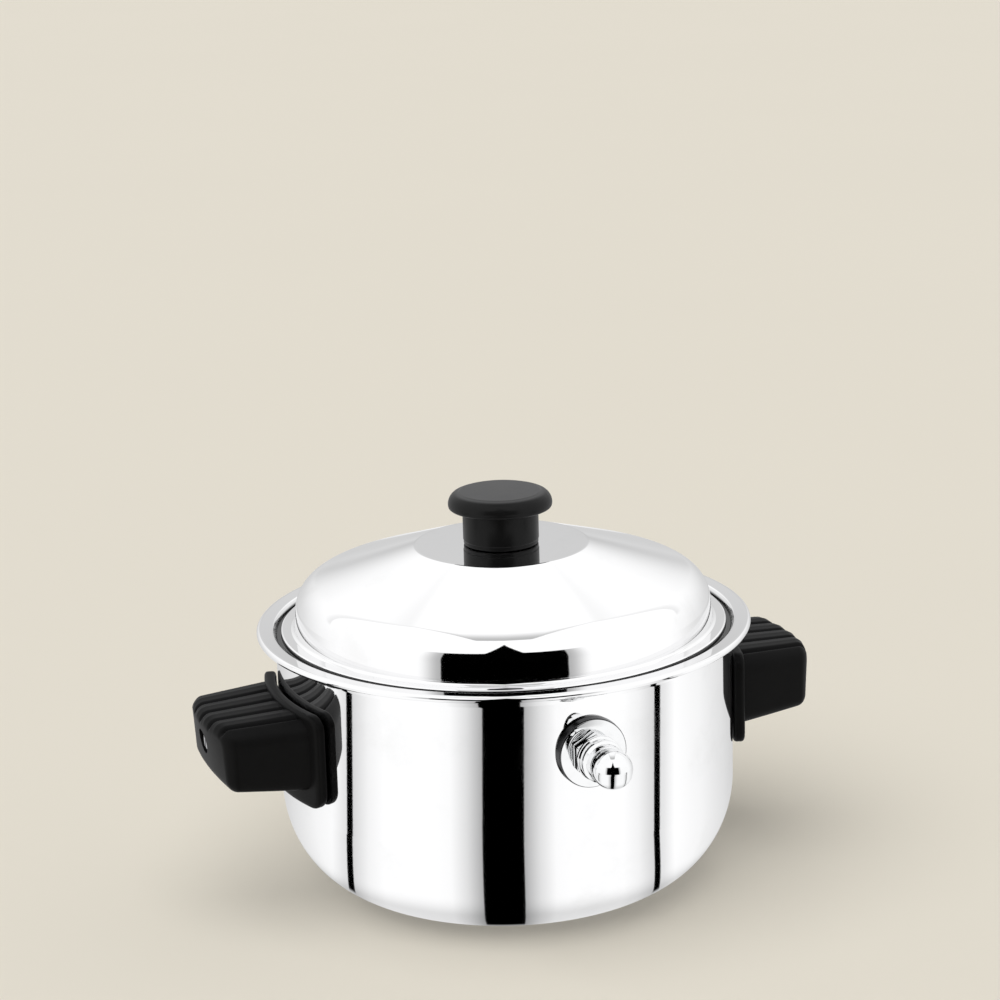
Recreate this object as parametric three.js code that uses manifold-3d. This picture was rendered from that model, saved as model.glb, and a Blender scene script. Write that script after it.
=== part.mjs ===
// Milk boiler: a double-walled steel pot whose jacket holds water, with a lid, two moulded
// lug handles and a push-on whistle that closes the filler nozzle. Millimetres, +Z up,
// origin at the middle of the base. The handles lie along X and the whistle points to -Y.
import * as THREE from 'three';
import { mergeVertices } from 'three/addons/utils/BufferGeometryUtils.js';
import Module from 'manifold-3d';

// Driving dimensions

const clearance = 0.3; // gap left between touching pieces
const sheet = 0.7; // steel sheet thickness
const turns = 40; // facets round the pot
const knobTurns = 28; // facets round the knob
const smallTurns = 20; // facets round the fittings
const screwTurns = 12; // facets round the screws

const shellRadius = 92.4; // outside of the pot wall
const shellCornerWide = 36; // base corner, across
const shellCornerTall = 42; // base corner, upward
const flareStart = 97; // height where the wall starts to flare under the rim
const flareReach = 4.6; // how far the flare runs out before it lies flat

const rimRadius = 100; // outside of the rim bead
const beadHeight = 106.55; // middle of the rim bead
const beadThickness = 2.7;
const hemInner = 96.9; // inner edge of the hem folded under the rim
const shellFlangeRadius = 98.5; // edge of the shell flange held in the hem

const vesselRadius = 79.5; // inside of the milk vessel
const vesselFloor = 13; // height of the milk vessel's floor
const vesselCorner = 22; // inside corner of the floor
const seatHeight = 106.3; // ledge that the lid rests on
const seatCorner = 7; // radius from the vessel wall to the ledge
const seatOuter = 92.2; // outer edge of the ledge, where the lip rises
const lipInner = 93.4;
const lipHeight = 107.6; // inner shoulder of the lip

const brimRadius = 90; // outer edge of the lid
const brimTop = 107.3; // upper face of the lid's brim
const skirtFoot = [84.8, 107.9]; // radius and height where the skirt meets the brim
const discRadius = 35; // flat disc in the middle of the lid
const discHeight = 139.4;
const coneSlope = 18; // degrees, from the disc to the shoulder
const skirtSlope = 84; // degrees, below the shoulder
const shoulderCentre = [71.5, 114.4]; // radius and height of the middle of the shoulder's arc
const shoulderRadius = 12.5;
const lidHole = 3.2; // radius of the hole for the knob screw

const knobStem = 15.3; // radius
const knobCap = 21; // radius
const knobCapFoot = 153.6; // underside of the cap
const knobWidest = 155.3;
const knobFlat = 17.5; // radius of the flat top
const knobTop = 161.2;
const knobBore = 4.5; // pocket for the threaded insert
const knobBoreDepth = 12.5;

const handleHeight = 74; // screw axis of the handles
const flangeInner = 93.1; // handle flange, curved along the wall
const flangeOuter = 97.8;
const flangeHalfWidth = 35.5;
const flangeBottom = 50.3;
const flangeTop = 88.6;
const flangeUpperCorner = 9;
const flangeLowerCorner = 6;
const gripEnd = 126.6; // end of the grip, from the pot's axis
const gripHalfAtFlange = 30; // half the grip's width
const gripHalfAtEnd = 26.5;
const gripUpperEdge = 8; // rounding of the grip's upper side edges
const gripLowerEdge = 3.6;
const gripEndEdge = 3.2; // rounding round the end face
const gripBottomAtFlange = 57;
const gripBottomAtEnd = 60.6;
const gripTopAtFlange = 87.4;
const gripTopAtEnd = 86;
const grooveCount = 5; // grip grooves along the top
const groovePitch = 10.4;
const grooveWidth = 2;
const grooveDepth = 1.3;
const endHoleRadius = 4.4; // sunk hole for the screw head
const endHoleFloor = 117.7;
const screwHole = 2.75;
const screwShank = 2.3;
const bracketFoot = 92.8; // steel bracket inside the handle, welded to the wall
const bracketTop = 101;
const bracketSheet = 1.2;
const bracketHalfLegs = 6.2;
const bracketHalfFeet = 10;
const bracketHeight = 14;

const nozzleHeight = 81; // whistle axis
const nozzleBore = 5;
const nozzleTube = 6.5;
const nozzleFlange = 9.5;
const nozzleInnerFace = 87.2; // distances along the whistle axis, from the pot's axis
const nozzleSpout = 104;
const escutcheonRadius = 14.5;
const escutcheonFace = 95.8;
const locknutFace = 99.8;
const locknutAcross = 16;
const whistleFoot = 100.1;
const whistleSleeve = 8;
const whistleShoulder = 109.5;
const whistleChamber = 5.6;
const ballCentre = 114.3;
const ballRadius = 7.7;
const ballBore = 5.4;
const slotWidth = 1.9; // steam slot across the whistle
const slotPlace = 110.9;

const wasm = await Module();
wasm.setup();

// Finishes

function finish(color, roughness, metalness) {
  return new THREE.MeshStandardMaterial({ color, roughness, metalness });
}

const polishedSteel = finish(0xd9dadc, 0.08, 1);
const innerSteel = finish(0xc9cacb, 0.2, 1);
const plainSteel = finish(0xa9abad, 0.35, 1);
const chrome = finish(0xe2e3e5, 0.05, 1);
const brass = finish(0xb08d4a, 0.3, 1);
const phenolic = finish(0x161616, 0.42, 0);
const silicone = finish(0xc8c3b8, 0.6, 0);

// Shape helpers

// A closed indexed mesh with shared corners, no empty triangles and its faces pointing out.
function closed(geometry) {
  const bare = geometry.clone();
  bare.deleteAttribute('normal');
  bare.deleteAttribute('uv');
  const merged = mergeVertices(bare, 1e-4);
  const position = merged.attributes.position;
  const source = merged.index.array;
  const a = new THREE.Vector3();
  const b = new THREE.Vector3();
  const c = new THREE.Vector3();
  const index = [];
  let volume = 0;
  for (let i = 0; i < source.length; i += 3) {
    const corners = [source[i], source[i + 1], source[i + 2]];
    if (new Set(corners).size < 3) continue;
    index.push(...corners);
    a.fromBufferAttribute(position, corners[0]);
    b.fromBufferAttribute(position, corners[1]);
    c.fromBufferAttribute(position, corners[2]);
    volume += a.dot(b.cross(c));
  }
  if (volume < 0) index.reverse();
  merged.setIndex(index);
  return merged;
}

function solidOf(geometry) {
  const whole = closed(geometry);
  const vertProperties = new Float32Array(whole.attributes.position.array);
  const triVerts = new Uint32Array(whole.index.array);
  return new wasm.Manifold(new wasm.Mesh({ numProp: 3, vertProperties, triVerts }));
}

function geometryOf(solid) {
  const mesh = solid.getMesh();
  const geometry = new THREE.BufferGeometry();
  geometry.setAttribute('position', new THREE.BufferAttribute(mesh.vertProperties, 3));
  geometry.setIndex(new THREE.BufferAttribute(mesh.triVerts, 1));
  return geometry;
}

function arc(centreR, centreZ, radiusR, radiusZ, fromDegrees, toDegrees, steps) {
  const points = [];
  for (let i = 0; i <= steps; i += 1) {
    const angle = THREE.MathUtils.degToRad(fromDegrees + ((toDegrees - fromDegrees) * i) / steps);
    points.push([centreR + radiusR * Math.cos(angle), centreZ + radiusZ * Math.sin(angle)]);
  }
  return points;
}

// The second face of a bent sheet: each point of the path moved sideways, positive to the left.
function offsetPath(path, distance) {
  return path.map((point, i) => {
    const before = path[Math.max(i - 1, 0)];
    const after = path[Math.min(i + 1, path.length - 1)];
    const into = new THREE.Vector2(point[0] - before[0], point[1] - before[1]).normalize();
    const away = new THREE.Vector2(after[0] - point[0], after[1] - point[1]).normalize();
    const along = into.clone().add(away).normalize();
    const bend = into.lengthSq() > 0 && away.lengthSq() > 0 ? along.dot(away) : 1;
    return [point[0] - (along.y * distance) / bend, point[1] + (along.x * distance) / bend];
  });
}

function sheetProfile(path, distance) {
  const profile = [...path, ...offsetPath(path, distance).reverse()];
  if (path[0][0] > 0) profile.push(path[0]);
  return profile;
}

// Turned about Z; a profile of [radius, height] points on the axis at both ends or closed on itself.
function turned(profile, segments) {
  const points = profile.map(([r, z]) => new THREE.Vector2(r, z));
  return closed(new THREE.LatheGeometry(points, segments).rotateX(Math.PI / 2));
}

function ring(inner, outer, low, high, segments) {
  return turned([[inner, low], [outer, low], [outer, high], [inner, high], [inner, low]], segments);
}

function prism(outline, low, high) {
  const shape = new THREE.Shape(outline.map(([x, y]) => new THREE.Vector2(x, y)));
  const block = new THREE.ExtrudeGeometry(shape, { depth: high - low, bevelEnabled: false });
  return closed(block.translate(0, 0, low));
}

function box(sizeX, sizeY, sizeZ, x, y, z) {
  return closed(new THREE.BoxGeometry(sizeX, sizeY, sizeZ).translate(x, y, z));
}

// A round bar along X.
function barAlongX(radius, from, to, segments) {
  const bar = new THREE.CylinderGeometry(radius, radius, to - from, segments);
  return closed(bar.rotateZ(-Math.PI / 2).translate((from + to) / 2, 0, 0));
}

function hexagon(across, low, high, bore) {
  const corner = across / Math.sqrt(3);
  const outline = [];
  for (let i = 0; i < 6; i += 1) {
    const angle = (i * Math.PI) / 3;
    outline.push([corner * Math.cos(angle), corner * Math.sin(angle)]);
  }
  const hole = new THREE.CylinderGeometry(bore, bore, (high - low) * 2, smallTurns);
  hole.rotateX(Math.PI / 2).translate(0, 0, (low + high) / 2);
  return geometryOf(solidOf(prism(outline, low, high)).subtract(solidOf(hole)));
}

function piece(name, geometry, material) {
  const mesh = new THREE.Mesh(geometry, material);
  mesh.name = name;
  return mesh;
}

// Pot: outer shell and milk vessel, hemmed together at the rim

function shellGeometry() {
  const flangeUnderside = beadHeight - sheet / 2;
  const path = [
    [0, 0],
    ...arc(shellRadius - shellCornerWide, shellCornerTall, shellCornerWide, shellCornerTall, -90, 0, 6),
    ...arc(shellRadius + flareReach, flareStart, flareReach, flangeUnderside - flareStart, 180, 90, 4),
    [shellFlangeRadius, flangeUnderside],
  ];
  const hole = new THREE.CylinderGeometry(nozzleTube + 0.4, nozzleTube + 0.4, 20, smallTurns);
  hole.translate(0, -shellRadius, 0).translate(0, 0, nozzleHeight);
  return geometryOf(solidOf(turned(sheetProfile(path, sheet), turns)).subtract(solidOf(hole)));
}

function vesselGeometry() {
  const half = beadThickness / 2;
  const path = [
    [0, vesselFloor],
    ...arc(vesselRadius - vesselCorner, vesselFloor + vesselCorner, vesselCorner, vesselCorner, -90, 0, 4),
    ...arc(vesselRadius + seatCorner, seatHeight - seatCorner, seatCorner, seatCorner, 180, 90, 3),
    [seatOuter, seatHeight],
    [lipInner, lipHeight],
    ...arc(rimRadius - half, beadHeight, half, half, 90, -90, 4),
    [hemInner, beadHeight - half],
  ];
  return turned(sheetProfile(path, -sheet), turns);
}

// Lid with its knob

function lidGeometry() {
  const path = [
    [lidHole, discHeight],
    [discRadius, discHeight],
    ...arc(...shoulderCentre, shoulderRadius, shoulderRadius, 90 - coneSlope, 90 - skirtSlope, 6),
    skirtFoot,
    [skirtFoot[0] + 1, brimTop],
    [brimRadius, brimTop],
  ];
  return turned(sheetProfile(path, -sheet), turns);
}

const lidUnderside = discHeight - sheet;
const knobFoot = discHeight + clearance;
const washerTop = lidUnderside - clearance;
const washerThickness = 1;
const screwHeadTop = washerTop - washerThickness - clearance;
const screwHeadHeight = 2.6;

function knobGeometry() {
  const boreTop = knobFoot + knobBoreDepth;
  const profile = [
    [0, boreTop],
    [knobBore, boreTop],
    [knobBore, knobFoot],
    [knobStem - 0.8, knobFoot],
    [knobStem, knobFoot + 0.8],
    [knobStem, knobCapFoot - 0.6],
    [knobStem + 0.8, knobCapFoot],
    [knobCap - 0.9, knobCapFoot],
    ...arc(knobFlat - 0.5, knobWidest, knobCap - knobFlat + 0.5, knobTop - 0.2 - knobWidest, 0, 80, 4),
    [knobFlat - 1, knobTop],
    [0, knobTop],
  ];
  return turned(profile, knobTurns);
}

function knobScrewGeometry() {
  const headFoot = screwHeadTop - screwHeadHeight;
  const profile = [
    [0, headFoot],
    [3.2, headFoot],
    [4.6, headFoot + 1.1],
    [4.6, screwHeadTop],
    [screwShank, screwHeadTop],
    [screwShank, knobFoot + 10.5],
    [0, knobFoot + 10.5],
  ];
  return turned(profile, screwTurns);
}

// Handles: moulded grip with a flange, held by a long screw to a welded bracket

// The grip's cross-section runs along X, grows towards the flange and starts inside it.
function gripGeometry() {
  const start = flangeInner - 15;
  const height = gripTopAtEnd - gripBottomAtEnd;
  const upper = gripHalfAtEnd - gripUpperEdge;
  const lower = gripHalfAtEnd - gripLowerEdge;
  const section = new THREE.Shape();
  section.absarc(lower, gripLowerEdge, gripLowerEdge, -Math.PI / 2, 0);
  section.absarc(upper, height - gripUpperEdge, gripUpperEdge, 0, Math.PI / 2);
  section.absarc(-upper, height - gripUpperEdge, gripUpperEdge, Math.PI / 2, Math.PI);
  section.absarc(-lower, gripLowerEdge, gripLowerEdge, Math.PI, Math.PI * 1.5);
  section.closePath();
  const block = new THREE.ExtrudeGeometry(section, {
    depth: gripEnd - start - 2 * gripEndEdge,
    bevelThickness: gripEndEdge,
    bevelSize: gripEndEdge,
    bevelOffset: -gripEndEdge,
    bevelSegments: 3,
    curveSegments: 4,
  });
  block.rotateX(Math.PI / 2).rotateZ(Math.PI / 2).translate(start + gripEndEdge, 0, 0);
  const position = block.attributes.position;
  for (let i = 0; i < position.count; i += 1) {
    const along = (position.getX(i) - flangeOuter) / (gripEnd - flangeOuter);
    const bottom = THREE.MathUtils.lerp(gripBottomAtFlange, gripBottomAtEnd, along);
    const top = THREE.MathUtils.lerp(gripTopAtFlange, gripTopAtEnd, along);
    const half = THREE.MathUtils.lerp(gripHalfAtFlange, gripHalfAtEnd, along);
    position.setY(i, (position.getY(i) * half) / gripHalfAtEnd);
    position.setZ(i, THREE.MathUtils.lerp(bottom, top, position.getZ(i) / height));
  }
  const middleOfFlange = (flangeInner + flangeOuter) / 2;
  const wall = new THREE.CylinderGeometry(middleOfFlange, middleOfFlange, 200, turns * 2).rotateX(Math.PI / 2);
  return geometryOf(solidOf(block).subtract(solidOf(wall)));
}

function flangeGeometry() {
  const halfAngle = Math.asin(flangeHalfWidth / flangeOuter) + 0.05;
  const sector = new THREE.Shape();
  sector.absarc(0, 0, flangeOuter, -halfAngle, halfAngle, false);
  sector.absarc(0, 0, flangeInner, halfAngle, -halfAngle, true);
  sector.closePath();
  const height = flangeTop - flangeBottom;
  const band = new THREE.ExtrudeGeometry(sector, { depth: height, bevelEnabled: false, curveSegments: 10 });
  band.translate(0, 0, flangeBottom);

  const face = new THREE.Shape();
  const lower = flangeHalfWidth - flangeLowerCorner;
  const upper = flangeHalfWidth - flangeUpperCorner;
  const low = flangeBottom + flangeLowerCorner;
  const high = flangeTop - flangeUpperCorner;
  face.absarc(lower, low, flangeLowerCorner, -Math.PI / 2, 0, false);
  face.absarc(upper, high, flangeUpperCorner, 0, Math.PI / 2, false);
  face.absarc(-upper, high, flangeUpperCorner, Math.PI / 2, Math.PI, false);
  face.absarc(-lower, low, flangeLowerCorner, Math.PI, Math.PI * 1.5, false);
  face.closePath();
  const blank = new THREE.ExtrudeGeometry(face, { depth: 30, bevelEnabled: false, curveSegments: 4 });
  blank.rotateX(Math.PI / 2).rotateZ(Math.PI / 2).translate(flangeOuter - 25, 0, 0);
  return geometryOf(solidOf(band).intersect(solidOf(blank)));
}

function handleGeometry() {
  const pocketReach = bracketTop + clearance;
  const pocketDepth = pocketReach - flangeInner + 4;
  const pocketMiddle = pocketReach - pocketDepth / 2;
  const pocketWidth = (bracketHalfFeet + clearance) * 2;
  const cutters = [
    box(pocketDepth, pocketWidth, bracketHeight + clearance * 2, pocketMiddle, 0, handleHeight),
    barAlongX(screwHole, pocketReach - 1, endHoleFloor + 1, screwTurns).translate(0, 0, handleHeight),
    barAlongX(endHoleRadius, endHoleFloor, gripEnd + 5, smallTurns).translate(0, 0, handleHeight),
  ];
  const slope = Math.atan((gripTopAtFlange - gripTopAtEnd) / (gripEnd - flangeOuter));
  const length = gripEnd - flangeOuter + 2;
  for (let i = 0; i < grooveCount; i += 1) {
    const side = (i - (grooveCount - 1) / 2) * groovePitch;
    const groove = new THREE.CylinderGeometry(grooveWidth / 2, grooveWidth / 2, length, 8);
    groove.rotateZ(Math.PI / 2);
    groove.scale(1, 1, (2 * grooveDepth) / grooveWidth);
    groove.rotateY(slope).translate(flangeOuter + 1.5 + length / 2, side, gripTopAtFlange - 0.5);
    cutters.push(groove);
  }
  let body = solidOf(flangeGeometry()).add(solidOf(gripGeometry()));
  for (const cutter of cutters) body = body.subtract(solidOf(cutter));
  return geometryOf(body);
}

function bracketGeometry() {
  const outline = [
    [bracketFoot, -bracketHalfFeet],
    [bracketFoot + bracketSheet, -bracketHalfFeet],
    [bracketFoot + bracketSheet, -bracketHalfLegs],
    [bracketTop, -bracketHalfLegs],
    [bracketTop, bracketHalfLegs],
    [bracketFoot + bracketSheet, bracketHalfLegs],
    [bracketFoot + bracketSheet, bracketHalfFeet],
    [bracketFoot, bracketHalfFeet],
    [bracketFoot, bracketHalfLegs - bracketSheet],
    [bracketTop - bracketSheet, bracketHalfLegs - bracketSheet],
    [bracketTop - bracketSheet, -bracketHalfLegs + bracketSheet],
    [bracketFoot, -bracketHalfLegs + bracketSheet],
  ];
  const half = bracketHeight / 2;
  const strap = prism(outline, handleHeight - half, handleHeight + half);
  const hole = barAlongX(screwHole, bracketTop - 4, bracketTop + 2, screwTurns);
  return geometryOf(solidOf(strap).subtract(solidOf(hole.translate(0, 0, handleHeight))));
}

const handleWasherFace = endHoleFloor + clearance;
const handleWasherThickness = 0.8;
const handleHeadFace = handleWasherFace + handleWasherThickness + clearance;
const handleNutFoot = bracketFoot + 2.2;
const handleNutHeight = 4;

// Fittings turned about Z are laid along X at the handle's screw axis.
function alongHandle(geometry) {
  return geometry.rotateY(Math.PI / 2).translate(0, 0, handleHeight);
}

function handleScrewGeometry() {
  const profile = [
    [0, handleNutFoot - 0.8],
    [screwShank, handleNutFoot - 0.8],
    [screwShank, handleHeadFace],
    [3.9, handleHeadFace],
    [3.9, handleHeadFace + 1.4],
    [2.6, handleHeadFace + 2.5],
    [0, handleHeadFace + 2.5],
  ];
  return alongHandle(turned(profile, screwTurns));
}

// Nozzle and whistle

// Fittings turned about Z are laid along -Y at the whistle axis.
function alongWhistle(geometry) {
  return geometry.rotateX(Math.PI / 2).translate(0, 0, nozzleHeight);
}

function nozzleGeometry() {
  const flangeFace = nozzleInnerFace + 1.9;
  const profile = [
    [nozzleBore, nozzleInnerFace],
    [nozzleFlange, nozzleInnerFace],
    [nozzleFlange, flangeFace],
    [nozzleTube, flangeFace],
    [nozzleTube, nozzleSpout - 0.6],
    [nozzleTube - 0.6, nozzleSpout],
    [nozzleBore, nozzleSpout],
    [nozzleBore, nozzleInnerFace],
  ];
  return alongWhistle(turned(profile, smallTurns));
}

// The escutcheon's back is hollowed to sit on the round wall.
function escutcheonGeometry() {
  const bore = nozzleTube + 0.4;
  const profile = [
    [bore, shellRadius - 3],
    [escutcheonRadius, shellRadius - 3],
    [escutcheonRadius, shellRadius + 0.9],
    [escutcheonRadius - 0.7, shellRadius + 1.6],
    [escutcheonRadius - 3.6, escutcheonFace - 0.6],
    [escutcheonRadius - 4.4, escutcheonFace],
    [bore, escutcheonFace],
    [bore, shellRadius - 3],
  ];
  const disc = alongWhistle(turned(profile, knobTurns));
  const wall = new THREE.CylinderGeometry(shellRadius + 0.5, shellRadius + 0.5, 60, turns * 2);
  wall.rotateX(Math.PI / 2).translate(0, 0, nozzleHeight);
  return geometryOf(solidOf(disc).subtract(solidOf(wall)));
}

function whistleBodyGeometry() {
  const socket = nozzleTube + clearance;
  const socketEnd = nozzleSpout + 1.3;
  const profile = [
    [socket, whistleFoot],
    [whistleSleeve + 0.9, whistleFoot],
    [whistleSleeve + 0.9, whistleFoot + 1.6],
    [whistleSleeve, whistleFoot + 2.2],
    [whistleSleeve, whistleShoulder - 2.4],
    [whistleSleeve - 0.8, whistleShoulder],
    [whistleChamber, whistleShoulder],
    [whistleChamber, socketEnd + 1.2],
    [3, socketEnd + 1.2],
    [3, socketEnd],
    [socket, socketEnd],
    [socket, whistleFoot],
  ];
  return alongWhistle(turned(profile, smallTurns));
}

function whistleDiscGeometry(back, face) {
  return alongWhistle(ring(1, whistleChamber - clearance, back, face, screwTurns));
}

// The ball end is hollow from behind; a slot on each side lets the steam out.
function whistleCapGeometry() {
  const neck = whistleShoulder + clearance;
  const start = THREE.MathUtils.radToDeg(Math.asin((neck + 1.6 - ballCentre) / ballRadius));
  const profile = [
    [ballBore, neck],
    [whistleSleeve - 1.2, neck],
    ...arc(0, ballCentre, ballRadius, ballRadius, start, 90, 8),
    [0, ballCentre + ballRadius - 1.6],
    [ballBore * 0.7, ballCentre + ballBore * 0.7],
    [ballBore, ballCentre],
    [ballBore, neck],
  ];
  const ball = solidOf(turned(profile, smallTurns));
  const slot = box(ballRadius * 4, ballRadius * 1.1, slotWidth, 0, 0, slotPlace + slotWidth / 2);
  return alongWhistle(geometryOf(ball.subtract(solidOf(slot))));
}

// Assembly

const pot = new THREE.Group();
pot.add(
  piece('outer_shell', shellGeometry(), polishedSteel),
  piece('inner_vessel', vesselGeometry(), innerSteel),
);

const lid = new THREE.Group();
const insertTop = knobFoot + knobBoreDepth - clearance;
const insertFoot = knobFoot + 0.1;
const insert = ring(screwShank + clearance, knobBore - clearance, insertFoot, insertTop, screwTurns);
const washerUnderLid = ring(lidHole - 0.5, 6.2, washerTop - washerThickness, washerTop, screwTurns);
lid.add(
  piece('lid', lidGeometry(), polishedSteel),
  piece('lid_knob', knobGeometry(), phenolic),
  piece('knob_insert', insert, brass),
  piece('knob_screw', knobScrewGeometry(), plainSteel),
  piece('knob_washer', washerUnderLid, plainSteel),
);

const handles = new THREE.Group();
for (const [side, turn] of [['right', 0], ['left', Math.PI]]) {
  const handle = new THREE.Group();
  const washer = ring(screwHole, 4, handleWasherFace, handleWasherFace + handleWasherThickness, screwTurns);
  const nut = hexagon(8, handleNutFoot, handleNutFoot + handleNutHeight, screwShank + clearance);
  handle.add(
    piece(`handle_${side}`, handleGeometry(), phenolic),
    piece(`handle_bracket_${side}`, bracketGeometry(), plainSteel),
    piece(`handle_nut_${side}`, alongHandle(nut), plainSteel),
    piece(`handle_washer_${side}`, alongHandle(washer), plainSteel),
    piece(`handle_screw_${side}`, handleScrewGeometry(), chrome),
  );
  handle.rotation.z = turn;
  handles.add(handle);
}

const gasketBack = nozzleInnerFace + 1.9 + clearance;
const gasket = ring(nozzleTube + clearance, nozzleFlange, gasketBack, gasketBack + 1.3, smallTurns);
const locknut = hexagon(locknutAcross, escutcheonFace + clearance, locknutFace, nozzleTube + clearance);
const filler = new THREE.Group();
filler.add(
  piece('filler_nozzle', nozzleGeometry(), chrome),
  piece('nozzle_gasket', alongWhistle(gasket), silicone),
  piece('nozzle_escutcheon', escutcheonGeometry(), chrome),
  piece('nozzle_locknut', alongWhistle(locknut), chrome),
);

const sealBack = nozzleSpout + clearance;
const seal = ring(3.4, nozzleTube, sealBack, sealBack + 0.7, smallTurns);
const innerDiscBack = nozzleSpout + 2.8;
const outerDiscBack = whistleShoulder - 0.9;
const whistle = new THREE.Group();
whistle.add(
  piece('whistle_body', whistleBodyGeometry(), chrome),
  piece('whistle_seal', alongWhistle(seal), silicone),
  piece('whistle_disc_inner', whistleDiscGeometry(innerDiscBack, innerDiscBack + 0.5), plainSteel),
  piece('whistle_disc_outer', whistleDiscGeometry(outerDiscBack, outerDiscBack + 0.5), plainSteel),
  piece('whistle_cap', whistleCapGeometry(), chrome),
);

const milkBoiler = new THREE.Group();
milkBoiler.add(pot, lid, handles, filler, whistle);

export default milkBoiler;
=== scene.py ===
from math import asin, cos, degrees, exp, pi, radians, sin, sqrt, tan

import bmesh
import bpy
from mathutils import Matrix, Vector


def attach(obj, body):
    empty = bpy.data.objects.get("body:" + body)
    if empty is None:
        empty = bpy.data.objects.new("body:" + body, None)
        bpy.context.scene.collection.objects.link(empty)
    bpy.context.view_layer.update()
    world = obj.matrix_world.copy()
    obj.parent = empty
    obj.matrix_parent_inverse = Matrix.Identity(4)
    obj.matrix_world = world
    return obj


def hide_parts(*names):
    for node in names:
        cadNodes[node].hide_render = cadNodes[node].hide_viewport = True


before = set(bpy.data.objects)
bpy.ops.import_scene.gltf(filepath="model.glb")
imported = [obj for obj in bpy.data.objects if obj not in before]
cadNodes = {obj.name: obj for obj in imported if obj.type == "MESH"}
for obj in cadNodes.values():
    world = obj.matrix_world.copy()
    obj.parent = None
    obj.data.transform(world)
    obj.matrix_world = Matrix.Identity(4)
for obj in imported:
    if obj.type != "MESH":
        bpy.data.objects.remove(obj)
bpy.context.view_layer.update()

mm = 0.001
whistleHeight = 81  # mm
throughCut = 20  # mm, length of a rod that cuts a hole right through
scene = bpy.context.scene


# Camera, at the photograph's viewing angle

shot = {
    "azimuth": -20.0,  # degrees round the pot, whistle to the right of the middle
    "elevation": 19.69,
    "distance": 1200.4,  # mm from the target
    "target": (0, 0, 60),  # mm
    "tiltUp": 4.476,  # the pot sits low in the picture
    "roll": -1.636,
    "lens": 105.05,
}


def setCamera():
    swing = Matrix.Rotation(radians(shot["azimuth"]), 3, "Z")
    tip = Matrix.Rotation(radians(90 - shot["elevation"] + shot["tiltUp"]), 3, "X")
    lean = Matrix.Rotation(radians(shot["roll"]), 3, "Z")
    rise = radians(shot["elevation"])
    away = swing @ Vector((0, -cos(rise), sin(rise))) * shot["distance"]
    data = bpy.data.cameras.new("photoCamera")
    data.lens = shot["lens"]
    data.sensor_width = 36
    data.clip_end = 50
    camera = bpy.data.objects.new("photoCamera", data)
    scene.collection.objects.link(camera)
    camera.matrix_world = (swing @ tip @ lean).to_4x4()
    camera.location = (Vector(shot["target"]) + away) * mm
    scene.camera = camera


setCamera()
print("camera set")


# Node wiring: sums on sockets are written as plain expressions

class Wire:
    def __init__(self, tree, socket):
        self.tree = tree
        self.socket = socket

    def maths(self, operation, *values):
        return self.tree.add("ShaderNodeMath", {"operation": operation}, dict(enumerate(values)))

    def __add__(self, other):
        return self.maths("ADD", self, other)

    def __radd__(self, other):
        return self.maths("ADD", other, self)

    def __sub__(self, other):
        return self.maths("SUBTRACT", self, other)

    def __rsub__(self, other):
        return self.maths("SUBTRACT", other, self)

    def __mul__(self, other):
        return self.maths("MULTIPLY", self, other)

    def __rmul__(self, other):
        return self.maths("MULTIPLY", other, self)

    def __truediv__(self, other):
        return self.maths("DIVIDE", self, other)

    def __rtruediv__(self, other):
        return self.maths("DIVIDE", other, self)

    def __pow__(self, other):
        return self.maths("POWER", self, other)

    def absolute(self):
        return self.maths("ABSOLUTE", self)

    def atLeast(self, other):
        return self.maths("MAXIMUM", self, other)

    def atMost(self, other):
        return self.maths("MINIMUM", self, other)

    # 0 below start, 1 above stop, smooth between
    def fade(self, start, stop):
        return self.tree.add(
            "ShaderNodeMapRange", {"interpolation_type": "SMOOTHSTEP"},
            {"Value": self, "From Min": start, "From Max": stop},
        )


class Tree:
    def __init__(self, owner):
        owner.use_nodes = True
        self.nodes = owner.node_tree.nodes
        self.links = owner.node_tree.links
        self.nodes.clear()

    # One node of any type: settings first, then the values or wires of its inputs
    def add(self, kind, settings=None, inputs=None, output=0):
        node = self.nodes.new(kind)
        for key, value in (settings or {}).items():
            if key == "stops":
                ramp = node.color_ramp
                while len(ramp.elements) < len(value):
                    ramp.elements.new(0.5)
                for stop, (place, shade) in zip(ramp.elements, value):
                    stop.position = place
                    stop.color = (shade, shade, shade, 1)
            else:
                setattr(node, key, value)
        for key, value in (inputs or {}).items():
            if isinstance(value, Wire):
                self.links.new(value.socket, node.inputs[key])
            else:
                node.inputs[key].default_value = value
        return Wire(self, node.outputs[output]) if node.outputs else None


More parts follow.
